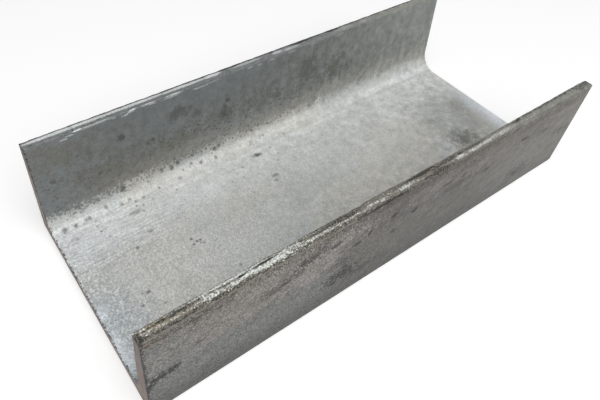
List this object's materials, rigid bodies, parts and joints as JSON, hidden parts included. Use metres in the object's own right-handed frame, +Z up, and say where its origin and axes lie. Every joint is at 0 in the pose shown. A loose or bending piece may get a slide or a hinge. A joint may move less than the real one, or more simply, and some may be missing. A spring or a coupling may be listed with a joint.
{
  "type": "c-channel",
  "caption": "Short length of galvanised hot-rolled steel channel: flat web, tapered flanges on one side of it, filleted roots and square-sawn ends, for frames, lintels and brackets.",
  "frame": {"origin": "on the back of the web, midway along the piece and midway between the flanges", "axes": "+X along the piece, +Y across it from flange to flange, +Z up from the web out of the open side"},
  "size_m": [0.235, 0.1, 0.05],
  "materials": {
    "galvanised_steel": "hot-dip galvanised, dull and mottled, with scuffed toes and bare sawn ends"
  },
  "bodies": {
    "root": {"c_channel": "galvanised_steel"}
  },
  "joints": []
}
